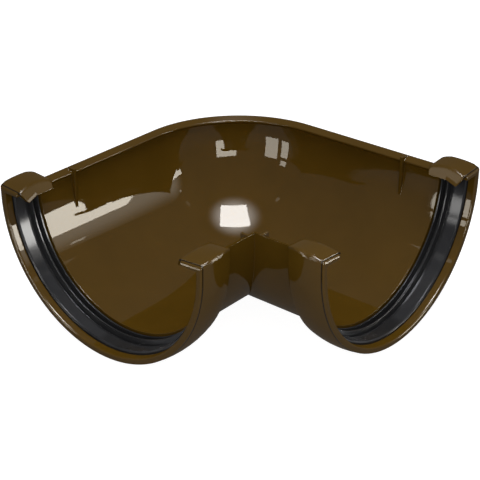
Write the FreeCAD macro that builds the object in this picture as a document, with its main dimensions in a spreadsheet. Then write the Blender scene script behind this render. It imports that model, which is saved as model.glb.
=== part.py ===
import FreeCAD, Part
import math
import os
import Sketcher

# A right-angle corner for a half-round rain gutter: one moulded body and a rubber seal in each socket.
# The right arm runs along +X and the left arm along -Y. In each arm's own sketches, u is the distance
# from the crossing of the two trough axes, w the sideways distance from the arm's axis, and z the height
# above the trough's centre line.

# Driving dimensions, in millimetres
DIMENSIONS = {
    "arm_length": 110.6,
    "trough_radius": 61.5,
    "trough_wall": 2.5,
    "lip_height": 4.1,
    "rim_width": 4.0,
    "rim_fall": 2.05,
    "rim_edge_height": 0.9,
    "rim_round": 0.5,
    "collar_width": 23.0,
    "collar_wall": 3.4,
    "crown_radius": 45.0,
    "crown_from_end": 9.6,
    "shoulder_round": 2.5,
    "shoulder_foot_round": 2.0,
    "collar_end_round": 0.9,
    "seal_seat_step": 6.1,
    "seal_seat_depth": 19.6,
    "mouth_step": 0.9,
    "mouth_land": 4.6,
    "mouth_round": 1.1,
    "clip_top": 8.35,
    "clip_top_fall": 1.06,
    "clip_outer_height": 5.7,
    "clip_outer_round": 3.4,
    "clip_arch_radius": 33.4,
    "clip_arch_inner_radius": 29.0,
    "clip_arch_from_end": 12.8,
    "clip_shoulder_round": 1.0,
    "clip_shoulder_cut": 0.3,
    "clip_end_round": 2.1,
    "clip_under_height": 3.1,
    "clip_tab_bend": 13.44,
    "clip_tab_reach": 19.1,
    "clip_tab_foot": 3.0,
    "clip_tab_low": 1.8,
    "clip_tab_setback": 1.3,
    "clip_tab_setback_height": 3.7,
    "clip_tab_slant": 10.9,
    "clip_tip_height": 0.1,
    "clip_tip_from_end": 4.0,
    "clip_tip_side": 7.0,
    "lead_in_height": 1.6,
    "lead_in_depth": 0.3,
    "stop_from_corner": 3.0,
    "stop_thickness": 1.6,
    "stop_reach": 2.8,
    "seal_clearance": 0.2,
    "seal_band_thickness": 2.5,
    "seal_band_width": 7.0,
    "seal_base_thickness": 1.4,
    "seal_lip_height": 3.4,
    "seal_lip_width": 2.0,
    "seal_lip_slope": 0.6,
    "seal_edge": 0.7,
}


class Size:
    """A length: its number, and the spreadsheet expression that drives it."""

    def __init__(self, value, text):
        self.value = value
        self.text = text

    def __add__(self, other):
        other = as_size(other)
        return Size(self.value + other.value, f"({self.text} + {other.text})")

    def __sub__(self, other):
        other = as_size(other)
        return Size(self.value - other.value, f"({self.text} - {other.text})")

    def __mul__(self, other):
        other = as_size(other)
        return Size(self.value * other.value, f"({self.text} * {other.text})")

    def __truediv__(self, other):
        other = as_size(other)
        return Size(self.value / other.value, f"({self.text} / {other.text})")

    def __neg__(self):
        return Size(-self.value, f"(0 - {self.text})")

    def root(self):
        return Size(math.sqrt(self.value), f"sqrt({self.text})")


def as_size(number):
    """Take a plain number as a fixed size."""
    if isinstance(number, Size):
        return number
    return Size(float(number), repr(float(number)))


def leg(long_side, short_side):
    """The other leg of a right triangle with these two sides."""
    return (long_side * long_side - short_side * short_side).root()


def make_sheet(doc):
    """Put the driving dimensions in a spreadsheet and hand them back as sizes."""
    sheet = doc.addObject("Spreadsheet::Sheet", "dims")
    sizes = {}
    for row, (name, value) in enumerate(DIMENSIONS.items(), start=1):
        sheet.set(f"A{row}", name)
        sheet.set(f"B{row}", str(value))
        sheet.setAlias(f"B{row}", name)
        sizes[name] = Size(value, f"dims.{name}")
    doc.recompute()
    return sizes


doc = FreeCAD.newDocument("gutter_corner")
D = make_sheet(doc)

# Sizes worked out from the driving dimensions
ZERO = as_size(0)
ARM = D["arm_length"]
OUTER = D["trough_radius"] + D["trough_wall"]
RIM_INNER = OUTER - D["rim_width"]
RIM_INNER_HEIGHT = D["lip_height"] - D["rim_fall"]
RIM_UNDER = RIM_INNER_HEIGHT - D["rim_edge_height"]
SHOULDER = ARM - D["collar_width"]
SEAL_SEAT = D["trough_radius"] + D["seal_seat_step"]
SEAT_START = ARM - D["seal_seat_depth"]
MOUTH = SEAL_SEAT - D["mouth_step"]
LAND_START = ARM - D["mouth_land"]
CROWN_PEAK = SEAL_SEAT + D["collar_wall"]
TAB_TIP = CROWN_PEAK - D["clip_tab_reach"]
# Clear of the part: how far a cut runs past what it cuts
CLEAR = CROWN_PEAK / 8


def origin_plane(body, role):
    """One of a body's own origin planes."""
    for feature in body.Origin.OriginFeatures:
        if feature.Role == role:
            return feature
    raise ValueError(role)


def new_sketch(body, name, role, lift=ZERO, turn=0.0):
    """A sketch on an origin plane, lifted along the plane's normal and turned about it."""
    sketch = body.newObject("Sketcher::SketchObject", name)
    sketch.AttachmentSupport = (origin_plane(body, role), [""])
    sketch.MapMode = "FlatFace"
    rotation = FreeCAD.Rotation(FreeCAD.Vector(0, 0, 1), turn)
    sketch.AttachmentOffset = FreeCAD.Placement(FreeCAD.Vector(0, 0, lift.value), rotation)
    if lift is not ZERO:
        sketch.setExpression("AttachmentOffset.Base.z", lift.text)
    return sketch


def hold(sketch, kind, geometry, point, size):
    """Tie one coordinate of a sketch point to a size."""
    axis = {"DistanceX": -2, "DistanceY": -1}[kind]
    if size is ZERO:
        sketch.addConstraint(Sketcher.Constraint("PointOnObject", geometry, point, axis))
        return
    index = sketch.addConstraint(Sketcher.Constraint(kind, -1, 1, geometry, point, size.value))
    sketch.setExpression(f"Constraints[{index}]", size.text)


def arc_between(start, end, radius, left):
    """The arc from start to end, with its centre to the left or the right of the way."""
    middle = (start + end) * 0.5
    along = end - start
    half = along.Length / 2
    across = FreeCAD.Vector(-along.y, along.x, 0).normalize()
    rise = math.sqrt(max(radius * radius - half * half, 0.0))
    centre = middle + across * (rise if left else -rise)
    first, last = (start, end) if left else (end, start)
    angles = [math.atan2(point.y - centre.y, point.x - centre.x) for point in (first, last)]
    circle = Part.Circle(centre, FreeCAD.Vector(0, 0, 1), radius)
    return Part.ArcOfCircle(circle, angles[0], angles[1])


def outline(sketch, corners):
    """Draw a closed outline. A corner is (x, y), or (x, y, radius, left) where an arc leaves it."""
    points = [FreeCAD.Vector(corner[0].value, corner[1].value, 0) for corner in corners]
    ends = []
    for number, corner in enumerate(corners):
        start = points[number]
        end = points[(number + 1) % len(points)]
        if len(corner) == 2:
            index = sketch.addGeometry(Part.LineSegment(start, end), False)
            ends.append((index, 1, 2))
            continue
        radius, left = corner[2], corner[3]
        index = sketch.addGeometry(arc_between(start, end, radius.value, left), False)
        ends.append((index, 1, 2) if left else (index, 2, 1))
    for number in range(len(corners)):
        index, _, last = ends[number]
        following, first, _ = ends[(number + 1) % len(corners)]
        sketch.addConstraint(Sketcher.Constraint("Coincident", index, last, following, first))
    for number, corner in enumerate(corners):
        index, first, _ = ends[number]
        hold(sketch, "DistanceX", index, first, corner[0])
        hold(sketch, "DistanceY", index, first, corner[1])
        if len(corner) == 4:
            radius = sketch.addConstraint(Sketcher.Constraint("Radius", index, corner[2].value))
            sketch.setExpression(f"Constraints[{radius}]", corner[2].text)


def add_pad(body, name, sketch, length):
    pad = body.newObject("PartDesign::Pad", name)
    pad.Profile = sketch
    pad.Length = length.value
    pad.setExpression("Length", length.text)
    return pad


def add_pocket(body, name, sketch, length, reverse=False, both_ways=False):
    pocket = body.newObject("PartDesign::Pocket", name)
    pocket.Profile = sketch
    pocket.Length = length.value
    pocket.setExpression("Length", length.text)
    pocket.Reversed = reverse
    pocket.Midplane = both_ways
    return pocket


def add_turned(body, kind, name, sketch, axis, angle, reverse=False):
    turned = body.newObject(kind, name)
    turned.Profile = sketch
    turned.ReferenceAxis = (sketch, [axis])
    turned.Angle = angle
    turned.Reversed = reverse
    return turned


def negative(size):
    return size if size is ZERO else -size


def mirrored(corners, axis):
    """The same outline with one coordinate turned round, 0 for x or 1 for y, travelled the other way."""
    flipped = []
    for number in reversed(range(len(corners))):
        point = [corners[number][0], corners[number][1]]
        point[axis] = negative(point[axis])
        arc = corners[number - 1][2:] if number > 0 else ()
        flipped.append(tuple(point) + arc)
    return flipped


def crowned(peak, radius, peak_from_end, rounding, end_round, cut=ZERO):
    """A crowned line over the collar's width. The shoulder's rounding may be cut off short of its foot."""
    middle = ARM - peak_from_end
    centre = peak - radius
    inner_radius = radius - rounding
    across = middle - (SHOULDER - cut + rounding)
    up = leg(inner_radius, across)
    stretch = radius / inner_radius
    end_up = centre + leg(radius, ARM - end_round - middle)
    return [
        (SHOULDER, centre + up + leg(rounding, rounding - cut), rounding, False),
        (middle - across * stretch, centre + up * stretch, radius, False),
        (ARM - end_round, end_up, end_round, False),
        (ARM, end_up - end_round),
    ]


def collar_outside():
    """The outside of the collar, from the foot of its shoulder to the arm's end."""
    foot = D["shoulder_foot_round"]
    rounding = D["shoulder_round"]
    end_round = D["collar_end_round"]
    crown = crowned(CROWN_PEAK, D["crown_radius"], D["crown_from_end"], rounding, end_round)
    return [(SHOULDER - foot, OUTER, foot, True), (SHOULDER, OUTER + foot)] + crown


def socket_inside():
    """The inside of the socket, from the end of the trough's wall to the mouth."""
    rounding = D["mouth_round"]
    return [
        (SEAT_START, D["trough_radius"]),
        (SEAT_START, SEAL_SEAT),
        (LAND_START, SEAL_SEAT),
        (LAND_START, MOUTH),
        (ARM - rounding, MOUTH, rounding, True),
        (ARM, MOUTH + rounding),
    ]


def outline_both_sides(sketch, corners, axis):
    """Draw an outline and its mirror image on the other side of the arm."""
    outline(sketch, corners)
    outline(sketch, mirrored(corners, axis))


def edges_where(feature, test):
    """The names of a feature's edges whose points all pass a test."""
    names = []
    for number, edge in enumerate(feature.Shape.Edges, start=1):
        first, last = edge.ParameterRange
        points = [edge.valueAt(first), edge.valueAt((first + last) / 2), edge.valueAt(last)]
        if not edge.Degenerated and all(test(point) for point in points):
            names.append(f"Edge{number}")
    return names


# The upright plane across each arm, whose normal points along the arm, and the arm's turn about the vertical
ARMS = {"right": ("YZ_Plane", 0.0), "left": ("XZ_Plane", -90.0)}

body = doc.addObject("PartDesign::Body", "corner_body")
body.Label = "corner_body"

# The solid outside of each arm: a half-round turned about its axis, and the upright lip above it
for arm, (_, turn) in ARMS.items():
    outside = [(ZERO, OUTER)] + collar_outside()
    turned = new_sketch(body, f"{arm}_outside", "XY_Plane", turn=turn)
    outline(turned, [(ZERO, ZERO)] + outside + [(ARM, ZERO)])
    add_turned(body, "PartDesign::Revolution", f"{arm}_arm", turned, "H_Axis", 180.0, reverse=True)
    lip = new_sketch(body, f"{arm}_lip_plan", "XY_Plane", turn=turn)
    outline(lip, outside + mirrored(outside, 1))
    add_pad(body, f"{arm}_lip", lip, D["lip_height"])

# The rounded outer corner, a quarter turn about the upright line through the crossing
corner = new_sketch(body, "corner_outside", "XZ_Plane")
outline(corner, [
    (ZERO, D["lip_height"]),
    (-OUTER, D["lip_height"]),
    (-OUTER, ZERO, OUTER, True),
    (ZERO, -OUTER),
])
add_turned(body, "PartDesign::Revolution", "corner_shell", corner, "V_Axis", 90.0, reverse=True)

# The channel: the half-round inside of each arm, its socket, and the inside of the outer corner
for arm, (_, turn) in ARMS.items():
    inside = [(ZERO, D["trough_radius"])] + socket_inside()
    channel = new_sketch(body, f"{arm}_inside", "XY_Plane", turn=turn)
    outline(channel, [(ZERO, ZERO)] + inside + [(ARM, ZERO)])
    add_turned(body, "PartDesign::Groove", f"{arm}_channel", channel, "H_Axis", 180.0, reverse=True)
    opening = new_sketch(body, f"{arm}_socket_plan", "XY_Plane", turn=turn)
    socket = socket_inside()
    outline(opening, socket + mirrored(socket, 1))
    add_pocket(body, f"{arm}_socket", opening, D["lip_height"], reverse=True)
hollow = new_sketch(body, "corner_inside", "XZ_Plane")
outline(hollow, [
    (ZERO, ZERO),
    (-D["trough_radius"], ZERO, D["trough_radius"], True),
    (ZERO, -D["trough_radius"]),
])
add_turned(body, "PartDesign::Groove", "corner_channel", hollow, "V_Axis", 90.0, reverse=True)


def channel_plan(name, half_width, height):
    """The plan of the channel between the two sockets, at one height."""
    plan = new_sketch(body, name, "XY_Plane", lift=height)
    outline(plan, [
        (SEAT_START, half_width),
        (ZERO, half_width, half_width, True),
        (-half_width, ZERO),
        (-half_width, -SEAT_START),
        (half_width, -SEAT_START),
        (half_width, -half_width),
        (SEAT_START, -half_width),
    ])
    return plan


def cut_between(name, first, second):
    """Cut away what lies between two outlines."""
    loft = body.newObject("PartDesign::SubtractiveLoft", name)
    loft.Profile = first
    loft.Sections = [second]
    loft.Ruled = True
    return loft


# The rim: it leans inward from the wall, has a short upright inner edge, and a top that falls inward
wall_plan = channel_plan("rim_foot_plan", D["trough_radius"], ZERO)
under_plan = channel_plan("rim_under_plan", RIM_INNER, RIM_UNDER)
cut_between("rim_underside", wall_plan, under_plan)
edge_plan = channel_plan("rim_edge_plan", RIM_INNER, RIM_UNDER)
add_pocket(body, "rim_inner_edge", edge_plan, D["lip_height"], reverse=True)
fall_plan = channel_plan("rim_fall_plan", RIM_INNER, RIM_INNER_HEIGHT)
top_plan = channel_plan("rim_top_plan", OUTER, D["lip_height"])
rim_top = cut_between("rim_top", fall_plan, top_plan)

# The rounded inner edge of the rim's top
doc.recompute()
rim_edges = edges_where(rim_top, lambda point: abs(point.z - RIM_INNER_HEIGHT.value) < 1e-4)
rim_round = body.newObject("PartDesign::Fillet", "rim_edge_round")
rim_round.Base = (rim_top, rim_edges)
rim_round.Radius = D["rim_round"].value
rim_round.setExpression("Radius", D["rim_round"].text)

# The upright stop ribs, one on each wall of each arm, just past the inner corner
STOP_AT = OUTER + D["stop_from_corner"]
for arm, (across, _) in ARMS.items():
    inside_wall = D["trough_radius"] + D["trough_wall"] / 2
    reach = D["trough_radius"] - D["stop_reach"]
    ribs = new_sketch(body, f"{arm}_stop_sections", across, lift=STOP_AT)
    outline_both_sides(ribs, [
        (reach, D["lip_height"]),
        (reach, -leg(inside_wall, reach), inside_wall, True),
        (inside_wall, ZERO),
        (OUTER, ZERO),
        (OUTER, D["lip_height"]),
    ], 0)
    add_pad(body, f"{arm}_stops", ribs, D["stop_thickness"])

# The clips: a strap over each side of a collar, with a tab that hangs behind the gutter's rim
BEND = CROWN_PEAK - D["clip_tab_bend"]
BEND_HEIGHT = D["clip_top"] - D["clip_top_fall"] * D["clip_tab_bend"] / D["clip_tab_reach"]
LEAN = (BEND - TAB_TIP) / (BEND_HEIGHT - D["clip_tip_height"])
TAB_ROOT = TAB_TIP + D["clip_tab_foot"] + LEAN * (D["clip_under_height"] - D["clip_tip_height"])
SLANT_START = ARM - D["clip_tab_slant"]
SLANT_END = ARM - D["clip_tip_from_end"]


def clip_section():
    """The section of a clip across the arm, before its top is arched."""
    rounding = D["clip_outer_round"]
    return [
        (CROWN_PEAK, D["lip_height"]),
        (CROWN_PEAK, D["clip_outer_height"], rounding, True),
        (CROWN_PEAK - rounding, D["clip_outer_height"] + rounding),
        (BEND + LEAN * (D["clip_top"] - BEND_HEIGHT), D["clip_top"]),
        (TAB_TIP, D["clip_tip_height"]),
        (TAB_TIP + D["clip_tab_foot"], D["clip_tip_height"]),
        (TAB_ROOT, D["clip_under_height"]),
        (SEAL_SEAT, D["clip_under_height"]),
        (SEAL_SEAT, D["lip_height"]),
    ]


def clip_wall_section():
    """The section of the wall that closes a clip at the collar's shoulder, down to the rim."""
    return [
        (RIM_INNER, RIM_UNDER),
        (SEAL_SEAT, RIM_UNDER),
        (SEAL_SEAT, D["lip_height"]),
        (RIM_INNER, D["lip_height"]),
    ]


def beside_clip():
    """What lies outside the collar's crown, in plan, so that a clip's outer face follows it."""
    crown = collar_outside()
    far = CROWN_PEAK + CLEAR
    return crown + [
        (ARM + CLEAR, crown[-1][1]),
        (ARM + CLEAR, far),
        (SHOULDER - CLEAR, far),
        (SHOULDER - CLEAR, OUTER),
    ]


def above_clip(peak, radius):
    """What lies above a clip's arched top, along the arm, at one distance to the side."""
    rounding = D["clip_shoulder_round"]
    end_round = D["clip_end_round"]
    arch = crowned(peak, radius, D["clip_arch_from_end"], rounding, end_round, D["clip_shoulder_cut"])
    high = D["clip_top"] + CLEAR
    return arch + [
        (ARM + CLEAR, arch[-1][1]),
        (ARM + CLEAR, high),
        (SHOULDER, high),
    ]


def below_tabs():
    """What lies round the tabs' edges: level under them, then slanted down to a tip near the mouth."""
    low = D["clip_tab_low"]
    tip = D["clip_tip_height"]
    mouth_side = tip + D["clip_tip_side"]
    shoulder_side = low + D["clip_tab_setback_height"]
    return [
        (SHOULDER - CLEAR, shoulder_side),
        (SHOULDER, shoulder_side),
        (SHOULDER + D["clip_tab_setback"], low),
        (SLANT_START, low),
        (SLANT_END, tip),
        (ARM, mouth_side),
        (ARM + CLEAR, mouth_side),
        (ARM + CLEAR, tip - CLEAR),
        (SHOULDER - CLEAR, tip - CLEAR),
    ]


def before_lead_in(u):
    """What the lead-in takes off a tab's inner face, above its slanted edge, at one place along the arm."""
    height = D["lead_in_height"]
    depth = D["lead_in_depth"]
    slope = (D["clip_tab_low"] - D["clip_tip_height"]) / (SLANT_END - SLANT_START)
    edge_height = D["clip_tab_low"] - slope * (u - SLANT_START)
    edge = TAB_TIP + LEAN * (edge_height - D["clip_tip_height"])
    rise_in = LEAN * height - depth
    return [
        (edge - height, edge_height),
        (edge + depth - rise_in / 2, edge_height - height / 2),
        (edge + depth + rise_in * 1.5, edge_height + height * 1.5),
    ]


def upright_sketch(name, arm, corners, lift):
    """An outline in u and z on the upright plane along an arm, lifted towards the inner corner."""
    if arm == "right":
        sketch = new_sketch(body, name, "XZ_Plane", lift=lift)
        outline(sketch, corners)
    else:
        sketch = new_sketch(body, name, "YZ_Plane", lift=lift)
        outline(sketch, mirrored(corners, 0))
    return sketch


for arm, (across, turn) in ARMS.items():
    straps = new_sketch(body, f"{arm}_clip_sections", across, lift=SHOULDER)
    outline_both_sides(straps, clip_section(), 0)
    add_pad(body, f"{arm}_clips", straps, D["collar_width"])
    walls = new_sketch(body, f"{arm}_clip_wall_sections", across, lift=SHOULDER)
    outline_both_sides(walls, clip_wall_section(), 0)
    add_pad(body, f"{arm}_clip_walls", walls, SEAT_START - SHOULDER)
    trim = new_sketch(body, f"{arm}_clip_trim_plan", "XY_Plane", lift=D["lip_height"], turn=turn)
    outline_both_sides(trim, beside_clip(), 1)
    add_pocket(body, f"{arm}_clip_trim", trim, D["clip_top"] + CLEAR, reverse=True)
    tabs = upright_sketch(f"{arm}_tab_edges", arm, below_tabs(), ZERO)
    add_pocket(body, f"{arm}_tab_edge_cut", tabs, TAB_ROOT * 2, both_ways=True)

# The lead-in above the slanted edge of each tab, which guides the gutter's rim under the clip
for arm, (across, _) in ARMS.items():
    for side in ("plus", "minus"):
        ends = []
        for place, u in (("start", SLANT_START), ("end", ARM)):
            cut = new_sketch(body, f"{arm}_{side}_lead_in_{place}", across, lift=u)
            corners = before_lead_in(u)
            outline(cut, corners if side == "plus" else mirrored(corners, 0))
            ends.append(cut)
        cut_between(f"{arm}_{side}_lead_in", ends[0], ends[1])

# The arched tops, tighter and a little lower towards the tabs
INNER_PEAK = D["clip_top"] - D["clip_top_fall"]
for arm in ARMS:
    for side, outer_lift, inner_lift in (
        ("near", CROWN_PEAK, TAB_TIP),
        ("far", -CROWN_PEAK, -TAB_TIP),
    ):
        name = f"{arm}_{side}_clip"
        outer_arch = above_clip(D["clip_top"], D["clip_arch_radius"])
        inner_arch = above_clip(INNER_PEAK, D["clip_arch_inner_radius"])
        outer = upright_sketch(f"{name}_outer_arch", arm, outer_arch, outer_lift)
        inner = upright_sketch(f"{name}_inner_arch", arm, inner_arch, inner_lift)
        cut_between(f"{name}_arch", outer, inner)


def seal_section():
    """The section of a seal: a smooth band with a bevelled edge, then two lips, the second at the back."""
    gap = D["seal_clearance"]
    base = SEAL_SEAT - gap
    band = base - D["seal_band_thickness"]
    groove = base - D["seal_base_thickness"]
    lip = groove - D["seal_lip_height"]
    width = D["seal_lip_width"]
    slope = D["seal_lip_slope"]
    front = LAND_START - gap
    back = SEAT_START + gap
    band_end = front - D["seal_band_width"]
    spacing = (band_end - back - width * 2) / 2
    corners = [
        (front, base),
        (front, band + D["seal_edge"]),
        (front - D["seal_edge"], band),
        (band_end, band),
        (band_end, groove),
    ]
    start = band_end
    for _ in range(2):
        start = start - spacing
        corners += [
            (start, groove),
            (start - slope, lip),
            (start - width + slope, lip),
            (start - width, groove),
        ]
        start = start - width
    corners.append((back, base))
    return corners


# The rubber seals, one half ring in each socket
seals = []
for arm, (_, turn) in ARMS.items():
    seal = doc.addObject("PartDesign::Body", f"seal_{arm}")
    seal.Label = f"seal_{arm}"
    section = new_sketch(seal, f"{arm}_seal_section", "XY_Plane", turn=turn)
    outline(section, seal_section())
    add_turned(seal, "PartDesign::Revolution", f"{arm}_seal_ring", section, "H_Axis", 180.0, reverse=True)
    seals.append(seal)

# The origin is under the middle of the whole, at the height of the collars' lowest points
PIECES = [body] + seals
SHIFT = (ARM - CROWN_PEAK) / 2
for piece in PIECES:
    piece.setExpression("Placement.Base.x", (-SHIFT).text)
    piece.setExpression("Placement.Base.y", SHIFT.text)
    piece.setExpression("Placement.Base.z", CROWN_PEAK.text)
doc.recompute()


# Checks, then one file for each piece
def check(document, pieces):
    for item in document.Objects:
        if "Invalid" in item.State or "Error" in item.State:
            raise RuntimeError(f"{item.Name} failed: {item.State}")
    for piece in pieces:
        if piece.Shape.isNull() or not piece.Shape.isValid():
            raise RuntimeError(f"{piece.Label} has no valid shape")
        box = piece.Shape.optimalBoundingBox(False)
        print(piece.Label, "solids", len(piece.Shape.Solids), "volume", round(piece.Shape.Volume, 1))
        print("  from", [round(value, 2) for value in (box.XMin, box.YMin, box.ZMin)])
        print("  to", [round(value, 2) for value in (box.XMax, box.YMax, box.ZMax)])


check(doc, PIECES)
os.makedirs("parts", exist_ok=True)
for piece in PIECES:
    piece.Shape.exportStep(f"parts/{piece.Label}.step")
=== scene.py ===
import bpy
import math
from mathutils import Matrix, Vector

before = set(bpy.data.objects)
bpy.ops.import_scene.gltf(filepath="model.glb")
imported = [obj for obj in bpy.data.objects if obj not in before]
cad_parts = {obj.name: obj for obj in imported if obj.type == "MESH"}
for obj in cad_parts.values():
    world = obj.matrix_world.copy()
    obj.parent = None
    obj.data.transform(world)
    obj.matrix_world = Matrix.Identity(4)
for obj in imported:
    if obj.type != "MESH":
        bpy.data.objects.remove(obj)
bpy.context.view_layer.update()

# The photograph's camera, in the row frame: lengths in metres, the sensor and lens in millimetres
CAMERA_PLACE = Vector((0.39437, -0.4724, 0.35696))
CAMERA_BACK = Vector((0.57134, -0.68036, 0.459))
CAMERA_UP = Vector((-0.29467, 0.35193, 0.88844))
NEAREST_SEEN = 0.01
FARTHEST_SEEN = 50.0
SENSOR_WIDTH = 36.0
LENS = 95.478

# Colours, linear
BROWN = (0.0735, 0.0388, 0.0045, 1.0)
BROWN_DEEP = (0.0665, 0.035, 0.0037, 1.0)
# The groove's near-black is painted shade: the dark of a crease, painted into the base colour.
GROOVE_PAINTED_SHADE = (0.003, 0.0015, 0.0003, 1.0)
CHARCOAL = (0.016, 0.016, 0.017, 1.0)
CHARCOAL_PALE = (0.023, 0.023, 0.024, 1.0)
GLOSS_WARM = (1.0, 0.94, 0.81, 1.0)
GLOSS_TOP = (1.0, 0.97, 0.93, 1.0)
WORLD_WHITE = (1.0, 1.0, 1.0, 1.0)
FLOOR_GREY = (0.35, 0.35, 0.35, 1.0)

# Noises: their scales per metre, their detail, and the values between which a colour changes
PLASTIC_CLOUDS = 40.0
PLASTIC_GRAIN = 900.0
RUBBER_CLOUDS = 60.0
RUBBER_GRAIN = 1500.0
CLOUD_DETAIL = 3.0
GRAIN_DETAIL = 2.0
COLOUR_FROM = 0.35
COLOUR_TO = 0.65

# Surface detail: ranges of roughness, and depths in metres
PLASTIC_ROUGHNESS = (0.26, 0.34)
RUBBER_ROUGHNESS = (0.12, 0.18)
PLASTIC_WAVE_DEPTH = 0.000008
RUBBER_GRAIN_DEPTH = 0.000004
GROOVE_DEPTH = 0.0004

# Gloss that is the same all over a surface, by the shader's socket
PLASTIC_GLOSS = {
    "IOR": 1.5,
    "Specular IOR Level": 0.0,
    "Coat Weight": 0.06,
    "Coat Roughness": 0.025,
    "Coat IOR": 2.0,
}
RUBBER_GLOSS = {
    "IOR": 1.5,
    "Specular IOR Level": 0.09,
    "Specular Tint": (0.82, 0.87, 1.0, 1.0),
}

# The sockets of a colour mix node, whose names repeat
MIX_FIRST = 6
MIX_SECOND = 7
MIX_RESULT = 2

# Levels of the studio: what the camera and the gloss see, and what lights the object
STUDIO_WHITE = 0.96
WORLD_LIGHT = 0.3

# Places on the body, in metres: the arms' axes, the collar's outside and the groove near each end
AXIS_OFFSET = 0.0198
AXIS_HEIGHT = 0.071
COLLAR_OUTSIDE = 0.0685
GROOVE_PLACE = 0.0895
GROOVE_WIDTH = 0.0012

# Edges rounded in the shading: radii, and the heights from which the clips' radius comes in, in metres
EDGE_ROUND = 0.0004
RUBBER_EDGE_ROUND = 0.0003
CLIP_ROUND = 0.003
CLIP_ROUND_FROM = 0.0752
CLIP_ROUND_FULL = 0.0768
EDGE_SAMPLES = 8

# The stage, in metres: the point that the lamps look at, the lamps, the floor and two directions
TARGET = Vector((0.0, 0.0, 0.04))
OVERHEAD = TARGET + Vector((0.154, -0.043, 1.2))
OVERHEAD_SIDE = 0.57
NEAR_LAMP_SIDE = 0.12
NEAR_LAMP_DISTANCE = 0.28
FLOOR_REACH = 15.0
UPWARD = Vector((0.0, 0.0, 1.0))
DIAGONAL = Vector((1.0, 1.0, 0.0)).normalized()

# Points on the object whose gloss shows a panel
CORNER_LEFT = Vector((-0.063, 0.0607, 0.0557))
CORNER_MIDDLE = Vector((-0.0414, 0.0757, 0.057))
CORNER_RIGHT = Vector((-0.0327, 0.0783, 0.057))
LEFT_WALL = Vector((-0.081, -0.03, 0.052))
LEFT_WALL_END = Vector((-0.075, 0.03, 0.046))
RIGHT_TAB = Vector((0.077, 0.074, 0.074))
LEFT_TAB = Vector((-0.074, -0.078, 0.0745))
LEFT_LEAD_IN = Vector((-0.073, -0.083, 0.0728))


def start_nodes(name):
    """A new material with only its output node."""
    material = bpy.data.materials.new(name)
    material.use_nodes = True
    material.node_tree.nodes.clear()
    output = material.node_tree.nodes.new("ShaderNodeOutputMaterial")
    return material, material.node_tree, output


def add_noise(tree, scale, detail):
    """A noise in object space, at a scale per metre."""
    place = tree.nodes.new("ShaderNodeTexCoord")
    noise = tree.nodes.new("ShaderNodeTexNoise")
    noise.inputs["Scale"].default_value = scale
    noise.inputs["Detail"].default_value = detail
    tree.links.new(place.outputs["Object"], noise.inputs["Vector"])
    return noise


def colour_between(tree, noise, first, second):
    """A colour that wanders between two, driven by a noise."""
    ramp = tree.nodes.new("ShaderNodeValToRGB")
    low, high = ramp.color_ramp.elements
    low.position = COLOUR_FROM
    low.color = first
    high.position = COLOUR_TO
    high.color = second
    tree.links.new(noise.outputs["Fac"], ramp.inputs["Fac"])
    return ramp.outputs["Color"]


def value_between(tree, noise, ends):
    """A number that wanders between two, driven by a noise."""
    spread = tree.nodes.new("ShaderNodeMapRange")
    spread.inputs["To Min"].default_value = ends[0]
    spread.inputs["To Max"].default_value = ends[1]
    tree.links.new(noise.outputs["Fac"], spread.inputs["Value"])
    return spread.outputs["Result"]


def bump_from(tree, height, depth, normal):
    """A fine relief of a given depth in metres, on top of a normal."""
    bump = tree.nodes.new("ShaderNodeBump")
    bump.inputs["Strength"].default_value = 1.0
    bump.inputs["Distance"].default_value = depth
    tree.links.new(height, bump.inputs["Height"])
    tree.links.new(normal, bump.inputs["Normal"])
    return bump.outputs["Normal"]


def feed(tree, socket, term):
    """Give a socket a number, or link a node's output to it."""
    if isinstance(term, float):
        socket.default_value = term
    else:
        tree.links.new(term, socket)


def rounded_edges(tree, radius):
    """A normal that rounds sharp edges by a radius in metres, a number or a node's output."""
    bevel = tree.nodes.new("ShaderNodeBevel")
    bevel.samples = EDGE_SAMPLES
    feed(tree, bevel.inputs["Radius"], radius)
    return bevel.outputs["Normal"]


def calculate(tree, operation, first, second=0.0):
    """One step of arithmetic on two terms, each a number or a node's output."""
    step = tree.nodes.new("ShaderNodeMath")
    step.operation = operation
    feed(tree, step.inputs[0], first)
    feed(tree, step.inputs[1], second)
    return step.outputs[0]


def place_parts(tree):
    """The x, y and z of a point in the row frame."""
    place = tree.nodes.new("ShaderNodeTexCoord")
    parts = tree.nodes.new("ShaderNodeSeparateXYZ")
    tree.links.new(place.outputs["Object"], parts.inputs[0])
    return parts.outputs[0], parts.outputs[1], parts.outputs[2]


def clip_rounding(tree):
    """A radius for rounded edges, small in general and large on top of the clips."""
    height = place_parts(tree)[2]
    spread = tree.nodes.new("ShaderNodeMapRange")
    spread.inputs["From Min"].default_value = CLIP_ROUND_FROM
    spread.inputs["From Max"].default_value = CLIP_ROUND_FULL
    spread.inputs["To Min"].default_value = EDGE_ROUND
    spread.inputs["To Max"].default_value = CLIP_ROUND
    tree.links.new(height, spread.inputs["Value"])
    return spread.outputs["Result"]


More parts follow.
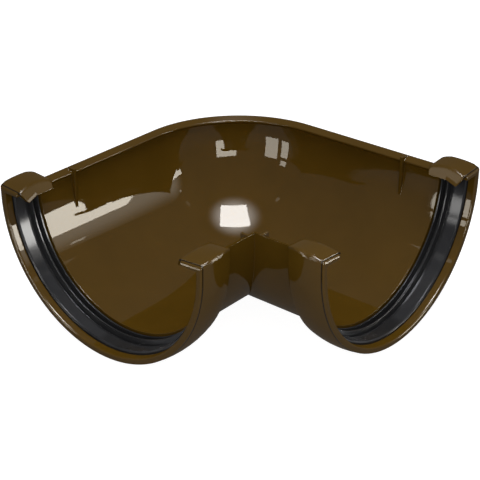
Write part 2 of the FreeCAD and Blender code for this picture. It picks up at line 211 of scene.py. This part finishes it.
def groove_and_painted_shade_mask(tree):
    """The fine groove round the outside of each socket near its end: one at its bottom, nought elsewhere. It
    gives the groove its relief and marks where shade is painted dark into the colour.
    """
    x, y, height = place_parts(tree)
    along = calculate(tree, "MAXIMUM", x, calculate(tree, "MULTIPLY", y, -1.0))
    off_groove = calculate(tree, "ABSOLUTE", calculate(tree, "SUBTRACT", along, GROOVE_PLACE))
    profile = tree.nodes.new("ShaderNodeMapRange")
    profile.interpolation_type = "SMOOTHSTEP"
    profile.inputs["From Min"].default_value = GROOVE_WIDTH / 2.0
    profile.inputs["From Max"].default_value = 0.0
    tree.links.new(off_groove, profile.inputs["Value"])
    both = calculate(tree, "ABSOLUTE", calculate(tree, "ADD", x, y))
    across = calculate(tree, "SUBTRACT", both, GROOVE_PLACE + AXIS_OFFSET)
    above = calculate(tree, "SUBTRACT", height, AXIS_HEIGHT)
    across_square = calculate(tree, "MULTIPLY", across, across)
    above_square = calculate(tree, "MULTIPLY", above, above)
    radius = calculate(tree, "SQRT", calculate(tree, "ADD", across_square, above_square))
    outside = calculate(tree, "GREATER_THAN", radius, COLLAR_OUTSIDE)
    on_clip = calculate(tree, "GREATER_THAN", height, CLIP_ROUND_FROM)
    shown = calculate(tree, "MAXIMUM", outside, on_clip)
    return calculate(tree, "MULTIPLY", profile.outputs["Result"], shown)


def paint_shade_into(tree, colour, dark, factor):
    """Painted shade: a colour that turns to a dark one by a factor."""
    mix = tree.nodes.new("ShaderNodeMix")
    mix.data_type = "RGBA"
    tree.links.new(factor, mix.inputs["Factor"])
    tree.links.new(colour, mix.inputs[MIX_FIRST])
    mix.inputs[MIX_SECOND].default_value = dark
    return mix.outputs[MIX_RESULT]


def set_values(shader, values):
    """Set the shader's own sockets to values that are the same all over."""
    for socket, value in values.items():
        shader.inputs[socket].default_value = value


def make_brown_plastic():
    """Glossy injection-moulded plastic, dark brown, with slightly wavy gloss and a fine groove whose shade
    is painted dark into the colour.
    """
    material, tree, output = start_nodes("brown_plastic_look")
    shader = tree.nodes.new("ShaderNodeBsdfPrincipled")
    clouds = add_noise(tree, PLASTIC_CLOUDS, CLOUD_DETAIL)
    grain = add_noise(tree, PLASTIC_GRAIN, GRAIN_DETAIL)
    groove = groove_and_painted_shade_mask(tree)
    brown = colour_between(tree, clouds, BROWN_DEEP, BROWN)
    # Painted shade: near-black painted into the base colour along the groove; the groove's relief is the
    # bump on the coat.
    tree.links.new(paint_shade_into(tree, brown, GROOVE_PAINTED_SHADE, groove), shader.inputs["Base Color"])
    tree.links.new(value_between(tree, grain, PLASTIC_ROUGHNESS), shader.inputs["Roughness"])
    edges = rounded_edges(tree, clip_rounding(tree))
    tree.links.new(edges, shader.inputs["Normal"])
    wavy = bump_from(tree, clouds.outputs["Fac"], PLASTIC_WAVE_DEPTH, edges)
    tree.links.new(bump_from(tree, groove, -GROOVE_DEPTH, wavy), shader.inputs["Coat Normal"])
    set_values(shader, PLASTIC_GLOSS)
    tree.links.new(shader.outputs["BSDF"], output.inputs["Surface"])
    return material


def make_seal_rubber():
    """Smooth charcoal rubber with a soft gloss."""
    material, tree, output = start_nodes("seal_rubber_look")
    shader = tree.nodes.new("ShaderNodeBsdfPrincipled")
    clouds = add_noise(tree, RUBBER_CLOUDS, CLOUD_DETAIL)
    grain = add_noise(tree, RUBBER_GRAIN, GRAIN_DETAIL)
    tree.links.new(colour_between(tree, clouds, CHARCOAL, CHARCOAL_PALE), shader.inputs["Base Color"])
    tree.links.new(value_between(tree, grain, RUBBER_ROUGHNESS), shader.inputs["Roughness"])
    edges = rounded_edges(tree, RUBBER_EDGE_ROUND)
    rough = bump_from(tree, grain.outputs["Fac"], RUBBER_GRAIN_DEPTH, edges)
    tree.links.new(rough, shader.inputs["Normal"])
    set_values(shader, RUBBER_GLOSS)
    tree.links.new(shader.outputs["BSDF"], output.inputs["Surface"])
    return material


def dress(node, material):
    """Give a CAD node its finished material."""
    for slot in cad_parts[node].material_slots:
        slot.material = material


def direction(azimuth, elevation):
    """The unit vector at an azimuth from -Y towards +X and an elevation, in degrees."""
    around = math.radians(azimuth)
    above = math.radians(elevation)
    level = math.cos(above)
    return Vector((math.sin(around) * level, -math.cos(around) * level, math.sin(above)))


def turned(right, up, back):
    """The rotation that takes the axes of a lamp or camera to three directions."""
    return Matrix((right, up, back)).transposed().to_4x4()


def add_lamp(name, place, facing, side, width, height, radiance):
    """A rectangular lamp that shines against its facing and lights the object without a highlight."""
    lamp = bpy.data.lights.new(name, "AREA")
    lamp.shape = "RECTANGLE"
    lamp.size = width
    lamp.size_y = height
    lamp.energy = radiance * math.pi * width * height
    box = bpy.data.objects.new(name, lamp)
    bpy.context.scene.collection.objects.link(box)
    across = (side - facing * side.dot(facing)).normalized()
    box.matrix_world = Matrix.Translation(place) @ turned(across, facing.cross(across), facing)
    box.visible_glossy = False
    box.visible_camera = False


def add_side_lamp(name, azimuth, elevation, distance, width, height, radiance):
    """A lamp that stands round the object at an azimuth and an elevation, in degrees."""
    way = direction(azimuth, elevation)
    level = direction(azimuth + 90.0, 0.0)
    add_lamp(name, TARGET + way * distance, way, level, width, height, radiance)


def make_glow(name, colour, radiance, fade):
    """A bright material, plain or fading to the studio's white over a length from its object's middle."""
    material, tree, output = start_nodes(name)
    glow = tree.nodes.new("ShaderNodeEmission")
    glow.inputs["Color"].default_value = colour
    glow.inputs["Strength"].default_value = radiance
    if fade > 0.0:
        place = tree.nodes.new("ShaderNodeTexCoord")
        away = tree.nodes.new("ShaderNodeVectorMath")
        away.operation = "LENGTH"
        tree.links.new(place.outputs["Object"], away.inputs[0])
        strength = tree.nodes.new("ShaderNodeMapRange")
        strength.interpolation_type = "SMOOTHERSTEP"
        strength.inputs["From Min"].default_value = fade
        strength.inputs["From Max"].default_value = 0.0
        strength.inputs["To Min"].default_value = STUDIO_WHITE
        strength.inputs["To Max"].default_value = radiance
        tree.links.new(away.outputs["Value"], strength.inputs["Value"])
        tree.links.new(strength.outputs["Result"], glow.inputs["Strength"])
    tree.links.new(glow.outputs[0], output.inputs["Surface"])
    material.cycles.emission_sampling = "NONE"
    return material


def add_panel(name, corners, colour, radiance, fade):
    """A bright panel of the studio that shows in the gloss alone."""
    middle = sum(corners, Vector()) / len(corners)
    mesh = bpy.data.meshes.new(name)
    mesh.from_pydata([corner - middle for corner in corners], [], [tuple(range(len(corners)))])
    mesh.materials.append(make_glow(name, colour, radiance, fade))
    panel = bpy.data.objects.new(name, mesh)
    panel.location = middle
    bpy.context.scene.collection.objects.link(panel)
    panel.visible_camera = False
    panel.visible_diffuse = False
    panel.visible_shadow = False


def add_overhead(name, side, lift, radiance, fade=0.0):
    """A level square panel above the object, with its sides at 45 degrees to the arms."""
    along = DIAGONAL * side / 2.0
    across = UPWARD.cross(DIAGONAL) * side / 2.0
    middle = OVERHEAD + UPWARD * lift
    corners = [
        middle + along + across,
        middle - along + across,
        middle - along - across,
        middle + along - across,
    ]
    add_panel(name, corners, GLOSS_TOP, radiance, fade)


def add_window(name, seen_from, sides, heights, distance, radiance, fade=0.0):
    """A panel that fills a range of azimuths and a range of elevations, in degrees, as seen from a point."""
    left, right = sides
    low, high = heights
    turns = [(left, low), (right, low), (right, high), (left, high)]
    corners = [seen_from + direction(azimuth, elevation) * distance for azimuth, elevation in turns]
    add_panel(name, corners, GLOSS_WARM, radiance, fade)


def add_camera():
    """The camera that took the photograph."""
    lens = bpy.data.cameras.new("photo_camera")
    lens.sensor_width = SENSOR_WIDTH
    lens.lens = LENS
    lens.clip_start = NEAREST_SEEN
    lens.clip_end = FARTHEST_SEEN
    camera = bpy.data.objects.new("photo_camera", lens)
    bpy.context.scene.collection.objects.link(camera)
    back = CAMERA_BACK.normalized()
    right = CAMERA_UP.cross(back).normalized()
    camera.matrix_world = Matrix.Translation(CAMERA_PLACE) @ turned(right, back.cross(right), back)
    bpy.context.scene.camera = camera


def seen_rays(tree):
    """One for rays from the camera, in gloss and through glass, and nought for the rest."""
    paths = tree.nodes.new("ShaderNodeLightPath")
    seen = calculate(tree, "MAXIMUM", paths.outputs["Is Camera Ray"], paths.outputs["Is Glossy Ray"])
    return calculate(tree, "MAXIMUM", seen, paths.outputs["Is Transmission Ray"])


def make_floor_white():
    """White for the camera and in gloss, with a part left to the lamps, so that the shadow shows."""
    material, tree, output = start_nodes("floor_white")
    glow = tree.nodes.new("ShaderNodeEmission")
    strength = calculate(tree, "MULTIPLY", seen_rays(tree), STUDIO_WHITE)
    tree.links.new(strength, glow.inputs["Strength"])
    matt = tree.nodes.new("ShaderNodeBsdfDiffuse")
    matt.inputs["Color"].default_value = FLOOR_GREY
    both = tree.nodes.new("ShaderNodeAddShader")
    tree.links.new(glow.outputs[0], both.inputs[0])
    tree.links.new(matt.outputs[0], both.inputs[1])
    tree.links.new(both.outputs[0], output.inputs["Surface"])
    return material


def add_floor():
    """A plain level floor under the object."""
    mesh = bpy.data.meshes.new("floor")
    signs = [(-1, -1), (1, -1), (1, 1), (-1, 1)]
    corners = [(x * FLOOR_REACH, y * FLOOR_REACH, 0.0) for x, y in signs]
    mesh.from_pydata(corners, [], [tuple(range(len(corners)))])
    floor = bpy.data.objects.new("floor", mesh)
    bpy.context.scene.collection.objects.link(floor)
    mesh.materials.append(make_floor_white())


def set_world():
    """Even light from all round, which the camera and the gloss see as white."""
    world = bpy.data.worlds.new("studio")
    world.use_nodes = True
    tree = world.node_tree
    background = tree.nodes["Background"]
    background.inputs["Color"].default_value = WORLD_WHITE
    extra = calculate(tree, "MULTIPLY", seen_rays(tree), STUDIO_WHITE - WORLD_LIGHT)
    tree.links.new(calculate(tree, "ADD", extra, WORLD_LIGHT), background.inputs["Strength"])
    bpy.context.scene.world = world


def add_lamps():
    """The lamps that light the object."""
    add_lamp("overhead_light", OVERHEAD, UPWARD, DIAGONAL, OVERHEAD_SIDE, OVERHEAD_SIDE, radiance=9.5)
    for name, azimuth in (("left_light", 27.0), ("right_light", 63.0)):
        add_side_lamp(name, azimuth, elevation=25.0, distance=NEAR_LAMP_DISTANCE,
                      width=NEAR_LAMP_SIDE, height=NEAR_LAMP_SIDE, radiance=2.3)
    add_side_lamp("low_light", azimuth=25.0, elevation=2.0, distance=1.0,
                  width=0.6, height=0.16, radiance=3.0)


def add_panels():
    """The panels that the photograph's reflections show, each where its reflection puts it."""
    add_overhead("overhead_panel", OVERHEAD_SIDE, lift=0.0, radiance=124.0)
    add_overhead("overhead_halo", side=1.4, lift=0.02, radiance=49.0, fade=0.67)
    add_window("window_right", CORNER_LEFT, sides=(43.5, 63.5), heights=(-3.5, 13.0),
               distance=0.5, radiance=49.0)
    add_window("window_middle", CORNER_MIDDLE, sides=(-1.5, 11.0), heights=(-8.0, 10.8),
               distance=0.37, radiance=35.0)
    add_window("window_left_low", CORNER_RIGHT, sides=(-13.7, -6.5), heights=(-7.0, 7.8),
               distance=0.38, radiance=36.0)
    add_window("window_left_high", CORNER_RIGHT, sides=(-13.7, -7.5), heights=(10.6, 15.0),
               distance=0.38, radiance=33.0)
    add_window("side_box", LEFT_WALL, sides=(117.0, 131.5), heights=(-3.3, 15.3),
               distance=0.9, radiance=75.0)
    add_window("side_halo", LEFT_WALL, sides=(108.0, 152.0), heights=(0.5, 26.0),
               distance=1.6, radiance=12.0, fade=0.5)
    add_window("right_tab_panel", RIGHT_TAB, sides=(-39.0, -35.0), heights=(38.5, 42.5),
               distance=0.7, radiance=7.3)
    add_window("left_tab_panel", LEFT_TAB, sides=(132.5, 136.5), heights=(31.5, 35.5),
               distance=0.7, radiance=3.6)
    add_window("lead_in_panel", LEFT_LEAD_IN, sides=(132.6, 134.4), heights=(20.2, 21.4),
               distance=0.5, radiance=24.0)
    add_window("side_small", LEFT_WALL_END, sides=(109.5, 118.0), heights=(12.7, 16.6),
               distance=0.6, radiance=62.0)


bpy.context.scene.view_settings.view_transform = "Standard"
dress("corner_body", make_brown_plastic())
rubber = make_seal_rubber()
dress("seal_right", rubber)
dress("seal_left", rubber)
add_camera()
add_floor()
set_world()
add_lamps()
add_panels()
